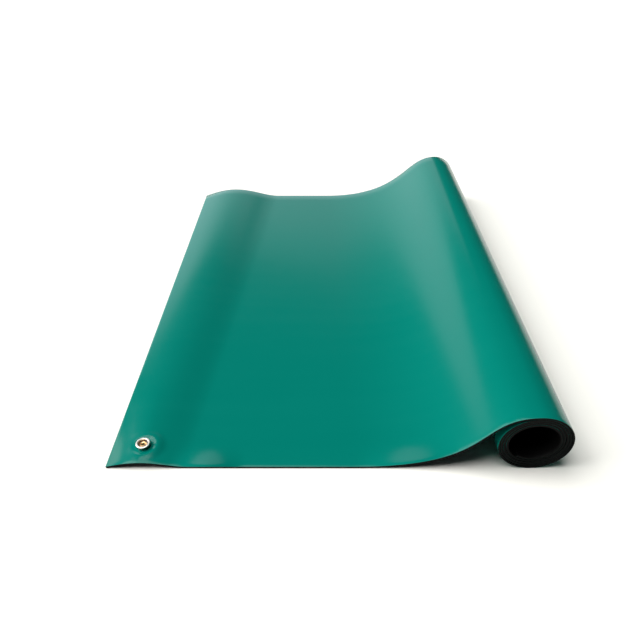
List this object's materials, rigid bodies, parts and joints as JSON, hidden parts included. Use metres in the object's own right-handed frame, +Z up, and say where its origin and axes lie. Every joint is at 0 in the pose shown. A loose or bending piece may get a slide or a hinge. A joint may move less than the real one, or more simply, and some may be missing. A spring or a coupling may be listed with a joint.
{
  "type": "anti static bench mat",
  "caption": "Two-layer rubber bench mat, green over black, laid flat at one end and rolled up at the other, with a metal ground snap near one corner",
  "frame": {"origin": "middle of the footprint, on the surface the mat lies on", "axes": "+X from the free edge to the roll, +Y along the roll's axis from the end with the snap to the other end, +Z up"},
  "size_m": [0.4248, 0.6, 0.072],
  "materials": {
    "green_rubber": "satin green rubber with a fine matt grain",
    "black_rubber": "matt black rubber",
    "nickel": "bright nickel plate",
    "brass": "dulled brass"
  },
  "bodies": {
    "root": {"dissipative_top_layer": "green_rubber", "conductive_back_layer": "black_rubber", "snap_cup": "nickel", "snap_rivet": "brass"}
  },
  "joints": []
}
